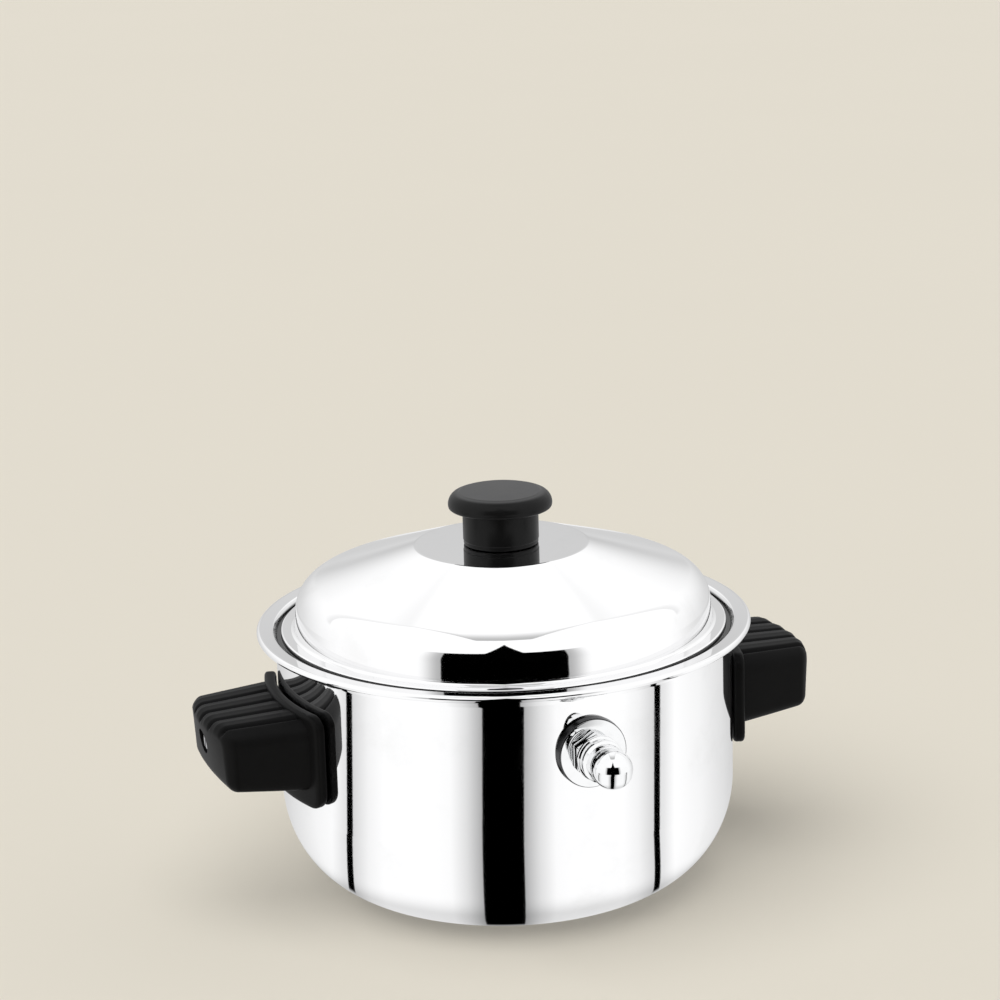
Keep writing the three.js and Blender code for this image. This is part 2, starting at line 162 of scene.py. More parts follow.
class Finish(Tree):
    def __init__(self, name):
        self.material = bpy.data.materials.new(name)
        super().__init__(self.material)
        self.place = self.add("ShaderNodeTexCoord", output="Object")
        parts = self.add("ShaderNodeSeparateXYZ", None, {0: self.place}).socket.node.outputs
        self.x, self.y, self.z = (Wire(self, part) for part in parts)
        self.fromAxis = (self.x * self.x + self.y * self.y) ** 0.5

    def noise(self, scale, detail=3.0, place=None, roughness=0.5):
        inputs = {"Vector": place or self.place, "Scale": scale, "Detail": detail, "Roughness": roughness}
        return self.add("ShaderNodeTexNoise", {"noise_dimensions": "3D"}, inputs, "Fac")

    def tint(self, factor, dark, light):
        inputs = {"Factor": factor, 6: (*dark, 1), 7: (*light, 1)}
        return self.add("ShaderNodeMix", {"data_type": "RGBA"}, inputs, 2)

    def bump(self, height, distance):
        return self.add("ShaderNodeBump", None, {"Height": height, "Distance": distance, "Strength": 1.0})

    # 0 before one of the zones below, 1 past it
    def past(self, distance, zone):
        start, stop = finishZones[zone]
        return distance.fade(start * mm, stop * mm)

    def surface(self, **inputs):
        sockets = {name.replace("_", " "): value for name, value in inputs.items()}
        shader = self.add("ShaderNodeBsdfPrincipled", None, sockets)
        self.add("ShaderNodeOutputMaterial", None, {"Surface": shader})
        return self.material


# Finishes

# Where a finish changes on its piece, mm
finishZones = {
    "polishedLip": (79.8, 81.5),  # from the axis
    # The groove zones mark where the vessel is painted near black as painted shade
    "grooveInner": (89.3, 89.7),
    "grooveOuter": (92.3, 92.9),
    "grooveTop": (106.6, 106.9),  # height
    # The plate and whistle zones mark where the chrome is painted dark as painted shade
    "plateEdge": (13.2, 13.5),  # from the whistle's axis
    "whistleBore": (5.5, 5.8),
    "whistleFront": (116.5, 117),  # from the pot's axis
    "knob": (130, 135),  # height
    # Above knobTop the knob is painted lighter grey as a painted sheen
    "knobTop": (160.2, 161.1),
}


def makePolishedSteel():
    f = Finish("polishedSteel")
    rings = f.noise(1.0, 2.0, f.add("ShaderNodeCombineXYZ", None, {0: f.fromAxis * 2600, 1: f.z * 2600}))
    smudge = f.noise(38, 5.0, roughness=0.6).fade(0.5, 0.75)
    buff = f.noise(900, 2.0)
    return f.surface(
        Base_Color=f.tint(smudge, (0.9, 0.9, 0.905), (0.86, 0.86, 0.862)),
        Metallic=1.0,
        Roughness=0.028 + rings * 0.016 + smudge * 0.03,
        Normal=f.bump(buff, 0.0000012),
    )


# The lip is polished like the shell, the inside has a satin ring finish and the groove is painted dark as
# painted shade
def makeVesselSteel():
    f = Finish("vesselSteel")
    rings = f.noise(1.0, 3.0, f.add("ShaderNodeCombineXYZ", None, {0: f.fromAxis * 1500, 1: f.z * 1500}))
    satin = 1 - f.past(f.fromAxis, "polishedLip")
    scale = f.noise(60, 6.0, roughness=0.65).fade(0.45, 0.8) * satin
    # Painted shade: the groove round the seat is painted near black, below the groove's top
    groove = f.past(f.fromAxis, "grooveInner") * (1 - f.past(f.fromAxis, "grooveOuter"))
    groove = groove * (1 - f.past(f.z, "grooveTop"))
    return f.surface(
        Base_Color=f.tint(scale * 0.1 + groove, (0.88, 0.88, 0.885), (0.03, 0.03, 0.03)),
        Metallic=1.0,
        Roughness=0.035 + satin * (0.16 + rings * 0.16) + scale * 0.08,
        Normal=f.bump(rings * satin, 0.00002),
    )


# Bright chrome, painted dark round the plate's edge and inside the whistle as painted shade
def makeChrome():
    f = Finish("chrome")
    haze = f.noise(240, 4.0).fade(0.45, 0.8)
    turnMarks = f.noise(2200, 1.0)
    lift = f.z - whistleHeight * mm
    reach = (f.x * f.x + lift * lift) ** 0.5
    # Painted shade: near black, and rougher, in the whistle's bore and round the plate's edge at the wall
    inside = (1 - f.past(reach, "whistleBore")) * (1 - f.past(f.fromAxis, "whistleFront"))
    paintedShade = f.past(reach, "plateEdge").atLeast(inside)
    return f.surface(
        Base_Color=f.tint(haze * 0.06 + paintedShade, (0.86, 0.865, 0.87), (0.04, 0.04, 0.042)),
        Metallic=1.0,
        Roughness=0.03 + haze * 0.05 + paintedShade * 0.2,
        Normal=f.bump(turnMarks, 0.0000015),
    )


def makePlainSteel():
    f = Finish("plainSteel")
    grain = f.noise(700, 4.0)
    stain = f.noise(90, 4.0).fade(0.4, 0.75)
    return f.surface(
        Base_Color=f.tint(stain, (0.66, 0.66, 0.67), (0.52, 0.52, 0.53)),
        Metallic=1.0,
        Roughness=0.24 + grain * 0.2,
        Normal=f.bump(grain, 0.00002),
    )


def makeBrass():
    f = Finish("brass")
    grain = f.noise(600, 4.0)
    return f.surface(
        Base_Color=f.tint(grain, (0.7, 0.52, 0.22), (0.55, 0.4, 0.16)),
        Metallic=1.0,
        Roughness=0.22 + grain * 0.2,
        Normal=f.bump(grain, 0.00001),
    )


# Moulded phenolic: fine flow marks, a skin like very fine orange peel, rubbed edges, and a painted sheen:
# the knob's top painted lighter grey
def makePhenolic():
    f = Finish("phenolic")
    flow = f.noise(70, 5.0, roughness=0.6)
    peel = f.noise(1500, 2.0)
    edges = f.add("ShaderNodeNewGeometry", output="Pointiness").fade(0.53, 0.62)
    wear = edges * f.noise(300, 3.0).fade(0.4, 0.7)
    dust = f.noise(420, 6.0, roughness=0.7).fade(0.6, 0.8)
    handled = f.past(f.z, "knob")  # the knob has the glossier skin
    paintedSheen = f.past(f.z, "knobTop")  # and its top is painted lighter grey, a painted sheen
    marksAndSheen = flow * 0.08 + wear * 0.08 + paintedSheen
    return f.surface(
        Base_Color=f.tint(marksAndSheen, (0.0045, 0.0045, 0.0046), (0.055, 0.055, 0.056)),
        Roughness=0.36 + flow * 0.12 + dust * 0.1 - wear * 0.08,
        Specular_IOR_Level=0.05,
        Coat_Weight=handled * 0.2,
        Coat_Roughness=0.25,
        Normal=f.bump(peel * 0.7 + flow * 0.3, 0.000035),
    )


def makeSilicone():
    f = Finish("silicone")
    cloud = f.noise(160, 4.0)
    return f.surface(
        Base_Color=f.tint(cloud, (0.62, 0.59, 0.53), (0.54, 0.51, 0.46)),
        Roughness=0.5 + cloud * 0.15,
        Normal=f.bump(f.noise(1800, 2.0), 0.00002),
    )


finishes = {
    "polished_steel": makePolishedSteel(),
    "vessel_steel": makeVesselSteel(),
    "chrome": makeChrome(),
    "plain_steel": makePlainSteel(),
    "brass": makeBrass(),
    "phenolic": makePhenolic(),
    "silicone": makeSilicone(),
}
print("finishes made")


# Shared modelling steps

# An elliptic arc of [radius, height] points
def arcPoints(centre, radii, start, stop, steps):
    turns = [radians(start + (stop - start) * i / steps) for i in range(steps + 1)]
    return [(centre[0] + radii[0] * cos(a), centre[1] + radii[1] * sin(a)) for a in turns]


# A bent line through corners; a corner with a third number is rounded to that radius
def bentLine(corners, steps=6):
    line = []
    for i, corner in enumerate(corners):
        here = Vector(corner[:2])
        if len(corner) < 3:
            line.append(tuple(here))
            continue
        back = (Vector(corners[i - 1][:2]) - here).normalized()
        ahead = (Vector(corners[i + 1][:2]) - here).normalized()
        half = back.angle(ahead) / 2
        centre = here + (back + ahead).normalized() * corner[2] / sin(half)
        first = here + back * corner[2] / tan(half) - centre
        last = here + ahead * corner[2] / tan(half) - centre
        sweep = first.angle_signed(last)
        for k in range(steps + 1):
            line.append(tuple(centre + Matrix.Rotation(-sweep * k / steps, 2) @ first))
    return line


# Extra points near the ends of long flats, which keep their shading flat
def holdFlats(path, inset=0.3, leastLength=3):
    held = [path[0]]
    for start, stop in zip(path, path[1:]):
        way = Vector(stop) - Vector(start)
        if way.length > leastLength:
            step = way.normalized() * inset
            held += [tuple(Vector(start) + step), tuple(Vector(stop) - step)]
        held.append(stop)
    return held


# Both faces of a bent sheet as one outline; a positive thickness lies to the left of the path
def sheetOutline(path, thickness):
    points = [Vector(p) for p in path]
    other = []
    for i, point in enumerate(points):
        into = (point - points[i - 1]).normalized() if i else None
        away = (points[i + 1] - point).normalized() if i + 1 < len(points) else None
        into, away = into or away, away or into
        along = (into + away).normalized()
        side = Vector((-along.y, along.x)) * thickness / along.dot(away)
        other.append(tuple(point + side))
    return [tuple(p) for p in points] + other[::-1]


# Edges past the angle `sharp`, in degrees, stay hard
def finishMesh(bm, name, slot, body, replaced, sharp=32):
    bmesh.ops.remove_doubles(bm, verts=bm.verts, dist=1e-7)
    bmesh.ops.recalc_face_normals(bm, faces=bm.faces)
    for face in bm.faces:
        face.smooth = True
    for edge in bm.edges:
        edge.smooth = edge.calc_face_angle(0) < radians(sharp)
    mesh = bpy.data.meshes.new(name)
    bm.to_mesh(mesh)
    bm.free()
    mesh.materials.append(finishes[slot])
    piece = bpy.data.objects.new(name, mesh)
    scene.collection.objects.link(piece)
    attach(piece, body)
    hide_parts(*replaced)


# A turned shape from an outline in mm; a closed outline makes a ring
def turn(outline, steps, ringShaped):
    bm = bmesh.new()
    verts = [bm.verts.new((r * mm, 0, z * mm)) for r, z in outline]
    pairs = list(zip(verts, verts[1:]))
    if ringShaped:
        pairs.append((verts[-1], verts[0]))
    edges = [bm.edges.new(pair) for pair in pairs]
    bmesh.ops.spin(
        bm, geom=verts + edges, cent=(0, 0, 0), axis=(0, 0, 1), angle=2 * pi, steps=steps, use_merge=True
    )
    bmesh.ops.remove_doubles(bm, verts=bm.verts, dist=1e-7)
    return bm


def layAlongWhistle(bm):
    bmesh.ops.rotate(bm, verts=bm.verts, cent=(0, 0, 0), matrix=Matrix.Rotation(pi / 2, 3, "X"))
    bmesh.ops.translate(bm, verts=bm.verts, vec=(0, 0, whistleHeight * mm))


def layAlongHandle(bm, turned):
    bmesh.ops.rotate(bm, verts=bm.verts, cent=(0, 0, 0), matrix=Matrix.Rotation(pi / 2, 3, "Y"))
    bmesh.ops.translate(bm, verts=bm.verts, vec=(0, 0, handleSizes["screwHeight"] * mm))
    bmesh.ops.rotate(bm, verts=bm.verts, cent=(0, 0, 0), matrix=Matrix.Rotation(turned, 3, "Z"))


# A rod along Z, moved and turned by the matrix `place`
def rodMesh(radius, length, segments, place):
    bm = bmesh.new()
    bmesh.ops.create_cone(
        bm, cap_ends=True, segments=segments, radius1=radius * mm, radius2=radius * mm,
        depth=length * mm, matrix=place,
    )
    return bm


def blockMesh(size, place):
    bm = bmesh.new()
    bmesh.ops.create_cube(bm, size=1)
    bmesh.ops.scale(bm, verts=bm.verts, vec=Vector(size) * mm)
    bmesh.ops.translate(bm, verts=bm.verts, vec=Vector(place) * mm)
    return bm


# Joins or cuts a mesh with others, which are used up
def combine(bm, others, operation):
    def holder(source, name):
        mesh = bpy.data.meshes.new(name)
        source.to_mesh(mesh)
        source.free()
        owner = bpy.data.objects.new(name, mesh)
        scene.collection.objects.link(owner)
        return owner

    main = holder(bm, "blank")
    tools = [holder(other, "tool") for other in others]
    for tool in tools:
        cut = main.modifiers.new("cut", "BOOLEAN")
        cut.operation = operation
        cut.solver = "EXACT"
        cut.object = tool
    made = bmesh.new()
    shaped = main.evaluated_get(bpy.context.evaluated_depsgraph_get())
    made.from_mesh(shaped.data)
    for owner in (main, *tools):
        data = owner.data
        bpy.data.objects.remove(owner)
        bpy.data.meshes.remove(data)
    return made


# Pot: outer shell and milk vessel

potSizes = {
    "sheet": 0.7,
    "shellRadius": 92.4,
    "corner": (36, 42),  # base corner, across and up
    "flareStart": 101.5,
    "flareReach": 4.6,
    "rimRadius": 100,
    "beadHeight": 106.55,
    "beadThickness": 2.7,
    "hemInner": 96.9,
    "shellFlange": 98.5,
    "vesselRadius": 79.5,
    "vesselFloor": 13,
    "vesselCorner": 22,
    "seatHeight": 106.3,
    "seatCorner": 7,
    "seatOuter": 91.9,
    "grooveInner": 89.7,  # a groove round the seat takes the drips from the brim
    "grooveDepth": 1.3,
    "grooveLead": 1.2,  # flat seat before the groove
    "grooveSlope": 0.5,
    "grooveRound": 0.5,
    "lipInner": 93.4,
    "lipHeight": 107.6,
    "lipRound": 0.9,
    "beadLead": 0.4,
    "nozzleHole": 6.9,
    "steps": 192,
}


def makeShell():
    s = potSizes
    wide, tall = s["corner"]
    flangeUnderside = s["beadHeight"] - s["sheet"] / 2
    path = [(0, 0)]
    path += arcPoints((s["shellRadius"] - wide, tall), (wide, tall), -90, 0, 40)
    flare = (s["flareReach"], flangeUnderside - s["flareStart"])
    path += arcPoints((s["shellRadius"] + s["flareReach"], s["flareStart"]), flare, 180, 90, 16)
    path.append((s["shellFlange"], flangeUnderside))
    bm = turn(sheetOutline(holdFlats(path), s["sheet"]), s["steps"], False)
    front = Matrix.Translation((0, -s["shellRadius"] * mm, whistleHeight * mm))
    hole = rodMesh(s["nozzleHole"], throughCut, 48, front @ Matrix.Rotation(pi / 2, 4, "X"))
    bm = combine(bm, [hole], "DIFFERENCE")
    finishMesh(bm, "outerShell", "polished_steel", "pot", ["outer_shell"])


def makeVessel():
    s = potSizes
    half = s["beadThickness"] / 2
    corner = s["vesselCorner"]
    seat = s["seatCorner"]
    path = [(0, s["vesselFloor"])]
    path += arcPoints((s["vesselRadius"] - corner, s["vesselFloor"] + corner), (corner, corner), -90, 0, 20)
    path += arcPoints((s["vesselRadius"] + seat, s["seatHeight"] - seat), (seat, seat), 180, 90, 12)
    groove = s["seatHeight"] - s["grooveDepth"]
    path += bentLine([
        (s["grooveInner"] - s["grooveLead"], s["seatHeight"]),
        (s["grooveInner"], s["seatHeight"], s["grooveRound"]),
        (s["grooveInner"] + s["grooveSlope"], groove, s["grooveRound"]),
        (s["seatOuter"], groove, s["grooveRound"]),
        (s["lipInner"], s["lipHeight"], s["lipRound"]),
        (s["rimRadius"] - half - s["beadLead"], s["beadHeight"] + half),
    ])
    path += arcPoints((s["rimRadius"] - half, s["beadHeight"]), (half, half), 90, -90, 14)
    path.append((s["hemInner"], s["beadHeight"] - half))
    bm = turn(sheetOutline(holdFlats(path), -s["sheet"]), s["steps"], False)
    finishMesh(bm, "innerVessel", "vessel_steel", "pot", ["inner_vessel"])


# Lid and knob

lidSizes = {
    "sheet": 0.7,
    "hole": 3.2,
    "disc": (35, 139.4),  # radius and height of the flat middle
    "coneSlope": 18,  # degrees, from the disc to the shoulder
    "skirtSlope": 84,
    "shoulderCentre": (71.5, 114.4),
    "shoulderRadius": 12.5,
    "skirtFoot": (84.8, 107.9),
    "brimRadius": 90,
    "brimTop": 107.3,
    "brimRoll": (0.5, 0.35, 0.4),  # the edge rolls in, down, and its rounding
    "discRound": 3,
    "footRound": 0.9,
    "brimRound": 1.2,
    "steps": 192,
}

knobSizes = {
    "foot": 139.7,
    "stem": 15.3,
    "capFoot": 154.2,
    "capRadius": 21,
    "widest": 156.0,
    "flatRadius": 17.5,
    "flatInset": (0.8, 0.6, 1.3),  # of the shoulder's centre, the lip and the flat's edge
    "flatDrop": 0.35,  # the lip lies this much below the flat
    "top": 161.2,
    "bore": (4.5, 12.5),  # radius and depth
    "collar": (0.2, 1.6, 2.0),  # a thin step round the foot: its depth, where it starts and ends
    "steps": 128,
}


def makeLid():
    s = lidSizes
    radius, height = s["disc"]
    foot = s["skirtFoot"]
    rollIn, rollDown, rollRound = s["brimRoll"]
    shoulder = arcPoints(
        s["shoulderCentre"], (s["shoulderRadius"],) * 2, 90 - s["coneSlope"], 90 - s["skirtSlope"], 40
    )
    brim = bentLine([
        shoulder[-1],
        (*foot, s["footRound"]),
        (foot[0] + s["brimRound"], s["brimTop"], s["brimRound"]),
        (s["brimRadius"] - rollIn, s["brimTop"], rollRound),
        (s["brimRadius"], s["brimTop"] - rollDown),
    ], 8)
    middle = bentLine([(s["hole"], height), (radius, height, s["discRound"]), shoulder[0]], 4)
    path = middle + shoulder[1:] + brim[1:]
    bm = turn(sheetOutline(holdFlats(path), -s["sheet"]), s["steps"], True)
    finishMesh(bm, "lidSheet", "polished_steel", "lid", ["lid"])


def makeKnob():
    s = knobSizes
    boreRadius, boreDepth = s["bore"]
    inset, collarStart, collarEnd = s["collar"]
    centreInset, lipInset, edgeInset = s["flatInset"]
    lip = s["top"] - s["flatDrop"]
    shoulder = (s["capRadius"] - s["flatRadius"] + centreInset, lip - s["widest"])
    outline = [(0, s["foot"] + boreDepth), (boreRadius, s["foot"] + boreDepth)]
    outline += bentLine([
        (boreRadius, s["foot"]),
        (s["stem"] - inset, s["foot"], 0.5),
        (s["stem"] - inset, s["foot"] + collarStart, 0.2),
        (s["stem"], s["foot"] + collarEnd, 0.2),
        (s["stem"], s["capFoot"], 0.8),
        (s["capRadius"] - 0.2, s["capFoot"], 1.3),
        (s["capRadius"], s["widest"]),
    ], 5)
    outline += arcPoints((s["flatRadius"] - centreInset, s["widest"]), shoulder, 0, 84, 18)
    outline += bentLine([
        (s["flatRadius"] - lipInset, lip),
        (s["flatRadius"] - edgeInset, s["top"], 0.5),
        (0, s["top"]),
    ], 4)
    bm = turn(outline, s["steps"], False)
    finishMesh(bm, "lidKnob", "phenolic", "lid", ["lid_knob"], 40)


screwSizes = {
    "shank": 2.3,
    "knobWasher": (2.7, 6.2, 137.4, 138.4),  # inner and outer radius, low and high
    "knobHead": (4.6, 134.5, 137.1),  # radius, low and high
    "knobTip": 150.2,
    "handleWasher": (2.75, 4.0, 118.0, 118.8),
    "handleHead": (3.9, 119.1, 126.5),
    "handleTip": 94.2,
    "slot": 1.1,  # width of the driver slot
    "tipBevel": (0.5, 0.6),
    "headRound": (0.2, 1.2),  # at its seat and its crown
    "washerRound": 0.12,
    "steps": 48,
}


# A pan-head screw along Z with a driver slot; the head lies towards `outer`
def screwMesh(headRadius, seat, outer, tip):
    shank = screwSizes["shank"]
    bevelIn, bevelAlong = screwSizes["tipBevel"]
    seatRound, crownRound = screwSizes["headRound"]
    way = 1 if outer > seat else -1
    outline = [(0, tip), (shank - bevelIn, tip), (shank, tip + way * bevelAlong), (shank, seat)]
    outline += bentLine([
        (shank, seat),
        (headRadius, seat, seatRound),
        (headRadius, outer, crownRound),
        (0, outer),
    ], 6)[1:]
    bm = turn(outline, screwSizes["steps"], False)
    depth = abs(outer - seat) / 2
    slot = blockMesh((headRadius * 3, screwSizes["slot"], depth * 2), (0, 0, outer))
    return combine(bm, [slot], "DIFFERENCE")


def washerMesh(inner, outer, low, high):
    edge = screwSizes["washerRound"]
    middle = (low + high) / 2
    outline = bentLine([
        (inner, middle),
        (inner, low, edge),
        (outer, low, edge),
        (outer, high, edge),
        (inner, high, edge),
        (inner, middle + 0.01),
    ], 3)
    return turn(outline, screwSizes["steps"], True)


def makeKnobFixings():
    radius, low, high = screwSizes["knobHead"]
    screw = screwMesh(radius, high, low, screwSizes["knobTip"])
    finishMesh(screw, "knobScrew", "plain_steel", "lid", ["knob_screw"])
    finishMesh(washerMesh(*screwSizes["knobWasher"]), "knobWasher", "plain_steel", "lid", ["knob_washer"])


# Handles

handleSizes = {
    "screwHeight": 74,
    "flangeInner": 93.1,
    "flangeOuter": 97.8,
    "flangeWidth": 71,
    "flangeZ": (50.3, 88.6),
    "flangeCorners": (6, 6),  # upper, lower
    "flangeEdge": 1.5,
    "gripEnd": 126.6,
    "gripHalf": (30, 26.5),  # half the width at the flange, at the end
    "gripCorners": (8, 4.5),  # rounding of the upper and the lower side edges
    "gripEdge": 4.5,  # rounding round the end face
    "gripBottom": (57.4, 59.7),  # at the flange, at the end
    "gripTop": (87.4, 86),
    "grooves": 5,
    "groovePitch": 10.4,
    "grooveDepth": 1.35,
    "grooveSpread": 0.85,
    "grooveDrop": 4.4,  # how far the grooves run down over the end
    "endBulge": (1.5, 4.5),  # how far the end curves back to its sides, below and above
    "endLean": 3.6,  # how far the end leans in at the bottom
    "endMore": 2.5,  # how far the middle of the end stands out
    "ribCrown": 0.35,
    "grooveFade": 2.5,  # the grooves run out over this height
    "gripStart": 84,  # hidden in the flange
    "gripCuts": (120, 28, 60),  # divisions across, up and along
    "flangeCuts": (60, 34, 8),
    "endHole": (5.0, 117.7),  # radius, and place of its floor
    "screwHole": 2.75,
    "screwHoleStart": 100,
    "pocket": (20, 20.6, 14.6),  # at the back, for the steel bracket
    "pocketPlace": 91.3,
}


# A centred block, an outline in X and Y drawn out along Z: `corners` rounds the outline's upper
# and lower corners and `edge` the rims of its ends; each vertex keeps the way it faces
def roundedBlock(size, cuts, corners, edge):
    bm = bmesh.new()
    bmesh.ops.create_cube(bm, size=1)
    for axis in range(3):
        chosen = [e for e in bm.edges if abs(e.verts[0].co[axis] - e.verts[1].co[axis]) > 1e-6]
        bmesh.ops.subdivide_edges(bm, edges=chosen, cuts=cuts[axis])
    half = [v / 2 for v in size]
    facing = {}
    for vert in bm.verts:
        p = Vector((vert.co.x * size[0], vert.co.y * size[1], vert.co.z * size[2]))
        corner = corners[0] if p.y > 0 else corners[1]
        core = Vector((
            max(-half[0] + corner, min(half[0] - corner, p.x)),
            max(-half[1] + corner, min(half[1] - corner, p.y)),
        ))
        out = Vector((p.x, p.y)) - core
        if out.length > corner - edge:
            out = out.normalized() * (corner - edge)
        level = max(-half[2] + edge, min(half[2] - edge, p.z))
        inside = Vector((core.x + out.x, core.y + out.y, level))
        facing[vert] = (p - inside).normalized()
        vert.co = inside + facing[vert] * edge
    return bm, facing


def between(ends, share):
    return ends[0] + (ends[1] - ends[0]) * share


# The grip lies along X; its inner end is drawn to a round inside the flange
def gripMesh():
    s = handleSizes
    inner = (s["flangeInner"] + s["flangeOuter"]) / 2 - 0.5
    length = s["gripEnd"] - s["gripStart"]
    half = s["gripHalf"][1]
    height = s["gripTop"][1] - s["gripBottom"][1]
    bm, facing = roundedBlock((2 * half, height, length), s["gripCuts"], s["gripCorners"], s["gripEdge"])
    pitch = s["groovePitch"]
    outermost = (s["grooves"] - 1) / 2
    for vert in bm.verts:
        place = vert.co.x / pitch + outermost
        nearest = max(0, min(s["grooves"] - 1, round(place)))
        gap = (place - nearest) * pitch
        onTop = max(0, min(1, (vert.co.y - height / 2 + s["grooveDrop"]) / s["grooveFade"]))
        crown = s["ribCrown"] * (min(1, (2 * gap / pitch) ** 2) - 1)
        groove = -s["grooveDepth"] * exp(-((gap / s["grooveSpread"]) ** 2))
        vert.co += facing[vert] * (groove + crown) * onTop * onTop * (3 - 2 * onTop)
    for vert in bm.verts:
        across, up, along = vert.co
        x = along + s["gripEnd"] - length / 2
        share = (x - s["flangeOuter"]) / (s["gripEnd"] - s["flangeOuter"])
        y = across * between(s["gripHalf"], share) / half
        z = between((between(s["gripBottom"], share), between(s["gripTop"], share)), up / height + 0.5)
        outer = max(0, (along / length + 0.5)) ** 3
        bulge = between(s["endBulge"], up / height + 0.5) * (across / half) ** 2
        x += outer * (s["endMore"] - bulge - s["endLean"] * (0.5 - up / height))
        x = max(x, sqrt(inner ** 2 - y ** 2))
        vert.co = Vector((x, y, z)) * mm
    return bm


def flangeMesh():
    s = handleSizes
    low, high = s["flangeZ"]
    thickness = s["flangeOuter"] - s["flangeInner"]
    size = (s["flangeWidth"], high - low, thickness)
    bm, _ = roundedBlock(size, s["flangeCuts"], s["flangeCorners"], s["flangeEdge"])
    for vert in bm.verts:
        angle = asin(vert.co.x / s["flangeOuter"])
        radius = s["flangeInner"] + thickness / 2 + vert.co.z
        vert.co = Vector((radius * cos(angle), radius * sin(angle), vert.co.y + (low + high) / 2)) * mm
    bmesh.ops.recalc_face_normals(bm, faces=bm.faces)
    return bm


def rodAlongX(radius, start, stop, segments):
    centre = Matrix.Translation(((start + stop) / 2 * mm, 0, handleSizes["screwHeight"] * mm))
    return rodMesh(radius, stop - start, segments, centre @ Matrix.Rotation(pi / 2, 4, "Y"))


def makeHandles():
    s = handleSizes
    holeRadius, holeFloor = s["endHole"]
    body = combine(gripMesh(), [flangeMesh()], "UNION")
    cutters = [
        blockMesh(s["pocket"], (s["pocketPlace"], 0, s["screwHeight"])),
        rodAlongX(s["screwHole"], s["screwHoleStart"], holeFloor + 1, 32),
        rodAlongX(holeRadius, holeFloor, s["gripEnd"] + 5, 48),
    ]
    body = combine(body, cutters, "DIFFERENCE")
    for side, turned in (("Right", 0), ("Left", pi)):
        copy = body.copy()
        bmesh.ops.rotate(copy, verts=copy.verts, cent=(0, 0, 0), matrix=Matrix.Rotation(turned, 3, "Z"))
        finishMesh(copy, "handle" + side, "phenolic", "pot", ["handle_" + side.lower()], 38)
        radius, seat, outer = screwSizes["handleHead"]
        screw = screwMesh(radius, seat, outer, screwSizes["handleTip"])
        washer = washerMesh(*screwSizes["handleWasher"])
        layAlongHandle(screw, turned)
        layAlongHandle(washer, turned)
        finishMesh(screw, "handleScrew" + side, "plain_steel", "pot", ["handle_screw_" + side.lower()])
        finishMesh(washer, "handleWasher" + side, "plain_steel", "pot", ["handle_washer_" + side.lower()])
    body.free()


# Nozzle and whistle; places are distances from the pot's axis

whistleSizes = {
    "bore": 5,
    "tube": 6.5,
    "flange": (9.5, 87.2, 89.1),  # radius, back and face
    "spout": 104,
    # A groove round the spout: in from the tube, back from the spout, rounding
    "spoutRing": [(0, 3.4), (0.25, 3.1, 0.2), (0.25, 2.3, 0.2), (0, 2.0)],
    "plateRadius": 13.9,
    "plateFace": 95.8,
    "plateDraft": (0.2, 0.3, 0.7),  # the edge comes in, stands back, and its rounding
    "plateBore": 6.9,
    "nutAcross": 16,
    "nutBevel": 0.45,
    "nutBore": 6.8,
    "nutPlace": (96.1, 99.8),
    "foot": 100.1,
    "sleeve": 8,
    # The sleeve's beads: out from the sleeve, up from the foot, rounding
    "beads": [
        (0.9, 0, 0.4), (0.9, 1.6, 0.5), (-0.1, 2.1, 0.4), (-0.1, 3.6, 0.4),
        (0.4, 4.2, 0.4), (0.4, 5.6, 0.4), (-0.6, 6.6, 0.6),
    ],
    "shoulder": 109.5,
    "socket": (6.8, 105.3),  # radius and end of the bore that takes the nozzle
    "inlet": (3, 1.2),  # radius and length of the hole behind it
    "chamber": 5.6,
    "neck": (109.8, 6.7, 2.2),  # where the ball's neck starts, its radius and its length
    "ballCentre": 114.3,
    "ballRadius": 7.7,
    "ballBore": 5.4,
    "slot": (2.8, 110.9),  # width and place of the steam slot
    "steps": 96,
}


def makeNozzle():
    s = whistleSizes
    flange, back, face = s["flange"]
    ring = [(s["tube"] - inset, s["spout"] - behind, *bend) for inset, behind, *bend in s["spoutRing"]]
    outline = bentLine([
        (s["bore"], back),
        (flange, back, 0.3),
        (flange, face, 0.3),
        (s["tube"], face),
        *ring,
        (s["tube"], s["spout"], 0.7),
        (s["bore"], s["spout"], 0.3),
        (s["bore"], s["spout"] - 2),
    ], 5)
    bm = turn(outline, s["steps"], True)
    layAlongWhistle(bm)
    finishMesh(bm, "fillerNozzle", "chrome", "pot", ["filler_nozzle"])


# The plate's back edge is drawn to the round wall
def makePlate():
    s = whistleSizes
    bore = s["plateBore"]
    inset, setBack, bend = s["plateDraft"]
    wall = potSizes["shellRadius"] + 0.15
    outline = bentLine([
        (bore, wall - 3),
        (s["plateRadius"], wall - 3),
        (s["plateRadius"] - inset, s["plateFace"] - setBack, bend),
        (bore + 0.6, s["plateFace"], 0.4),
        (bore, s["plateFace"]),
    ], 7)
    bm = turn(outline, s["steps"], True)
    for vert in bm.verts:
        face = sqrt(wall ** 2 - (vert.co.x / mm) ** 2) * mm
        vert.co.z = max(vert.co.z, face) if vert.co.z < (wall - 1) * mm else vert.co.z
    layAlongWhistle(bm)
    finishMesh(bm, "nozzlePlate", "chrome", "pot", ["nozzle_escutcheon"])


def makeLocknut():
    s = whistleSizes
    back, face = s["nutPlace"]
    centre = Matrix.Translation((0, 0, (back + face) / 2 * mm))
    bm = rodMesh(s["nutAcross"] / sqrt(3), face - back, 6, centre)
    bmesh.ops.bevel(
        bm, geom=list(bm.edges), offset=s["nutBevel"] * mm, offset_type="OFFSET", segments=4, profile=0.5,
        affect="EDGES", material=-1,
    )
    hole = rodMesh(s["nutBore"], throughCut, 64, centre)
    bm = combine(bm, [hole], "DIFFERENCE")
    layAlongWhistle(bm)
    finishMesh(bm, "nozzleLocknut", "chrome", "pot", ["nozzle_locknut"])


